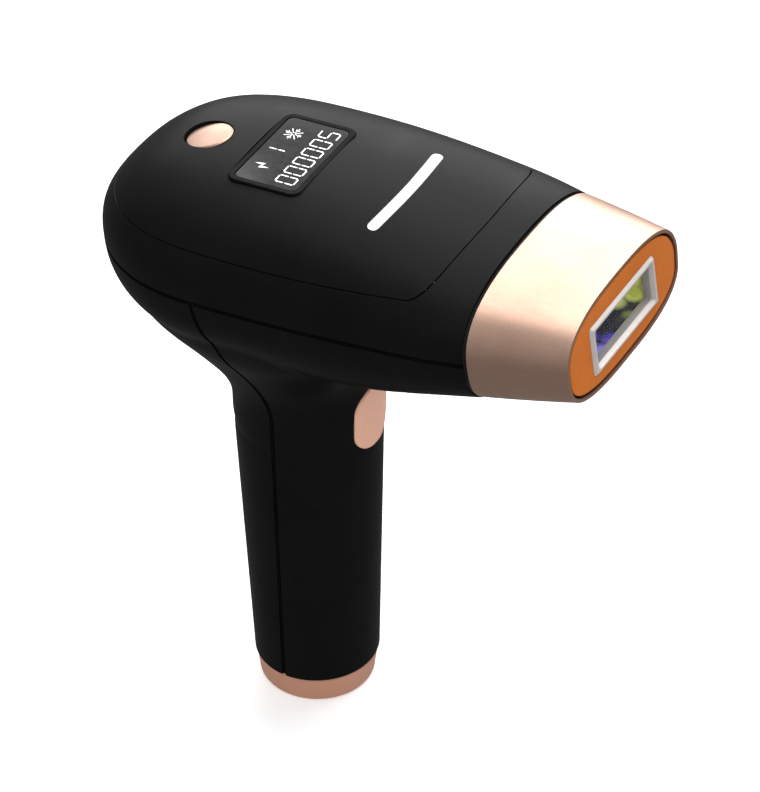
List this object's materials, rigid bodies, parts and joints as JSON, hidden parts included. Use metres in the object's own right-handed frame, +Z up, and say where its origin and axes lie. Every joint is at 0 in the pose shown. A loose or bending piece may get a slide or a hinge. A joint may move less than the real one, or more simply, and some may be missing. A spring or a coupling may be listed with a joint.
{
  "type": "ipl hair remover",
  "caption": "Pistol-grip pulsed-light hair remover with a rounded head, display, power button, trigger and a pull-off tapered lamp cartridge with a rectangular window.",
  "frame": {"origin": "centre of the flat end of the handle", "axes": "+Z up along the handle, +X forward towards the treatment window, +Y to the left"},
  "size_m": [0.1439, 0.0809, 0.1699],
  "materials": {
    "black_shell": "soft-touch matt",
    "black_gloss": "gloss",
    "black_rubber": "matt",
    "steel": "plated",
    "rose_gold": "satin metal plating",
    "copper_plate": "satin metal plating",
    "brass": "bright",
    "dark_glass": "polished",
    "filter_glass": "coated",
    "clear_glass": "clear",
    "lcd": "satin",
    "diffuser": "translucent",
    "board_green": "satin",
    "led": "gloss",
    "chip": "matt",
    "capacitor": "sleeved",
    "ferrite": "matt",
    "aluminium": "extruded",
    "ceramic": "matt",
    "silver": "polished",
    "reflector": "polished",
    "wire": "satin"
  },
  "bodies": {
    "housing": {"top_cover": "black_shell", "upper_shell": "black_shell", "front_shell": "black_shell", "rear_shell": "black_shell", "collar_ring": "black_gloss", "case_screws": "steel", "board_screws": "steel", "end_ring": "rose_gold", "end_cap": "black_gloss", "dc_socket": "black_gloss", "dc_pin": "brass", "display_bezel": "black_rubber", "display_lens": "dark_glass", "lcd_module": "lcd", "light_bar": "diffuser", "light_board": "board_green", "light_leds": "led", "button_guide": "black_gloss", "button_switch": "black_gloss", "button_spring": "steel", "control_board": "board_green", "board_chips": "chip", "flash_capacitor": "capacitor", "power_board": "board_green", "board_parts": "chip", "transformer": "ferrite", "trigger_switch": "black_gloss", "trigger_spring": "steel", "fan_frame": "black_gloss", "heatsink": "aluminium", "cooling_module": "ceramic", "inner_frame": "black_shell", "contact_sockets": "brass", "lamp_leads": "wire", "main_cable": "wire"},
    "power_button": {"power_button": "rose_gold"},
    "trigger": {"trigger": "rose_gold"},
    "fan_rotor": {"fan_rotor": "black_gloss"},
    "lamp_cartridge": {"cartridge_shell": "rose_gold", "face_seal": "black_rubber", "face_plate": "copper_plate", "window_frame": "silver", "filter_glass": "filter_glass", "reflector": "reflector", "flash_lamp": "clear_glass", "lamp_electrodes": "brass", "lamp_holders": "black_rubber", "cartridge_base": "black_gloss", "contact_plate": "aluminium", "contact_pins": "brass"}
  },
  "joints": [
    {"name": "power_button_press", "type": "slide", "parent": "housing", "child": "power_button", "axis": [0.2756, 0, -0.9613], "range_m": [0, 0.0008], "stiffness_N_per_m": 1500, "springref_m": -0.0004, "deforming": ["button_spring"]},
    {"name": "trigger_press", "type": "slide", "parent": "housing", "child": "trigger", "axis": [-1, 0, 0], "range_m": [0, 0.002], "stiffness_N_per_m": 1200, "springref_m": -0.001, "deforming": ["trigger_spring"]},
    {"name": "fan_spin", "type": "hinge", "parent": "housing", "child": "fan_rotor", "pos_m": [-0.0189, 0, 0.14058], "axis": [0.9936, 0, 0.1132], "continuous": true},
    {"name": "cartridge_pull", "type": "slide", "parent": "housing", "child": "lamp_cartridge", "axis": [0.9863, 0, 0.165], "range_m": [0, 0.04]}
  ]
}
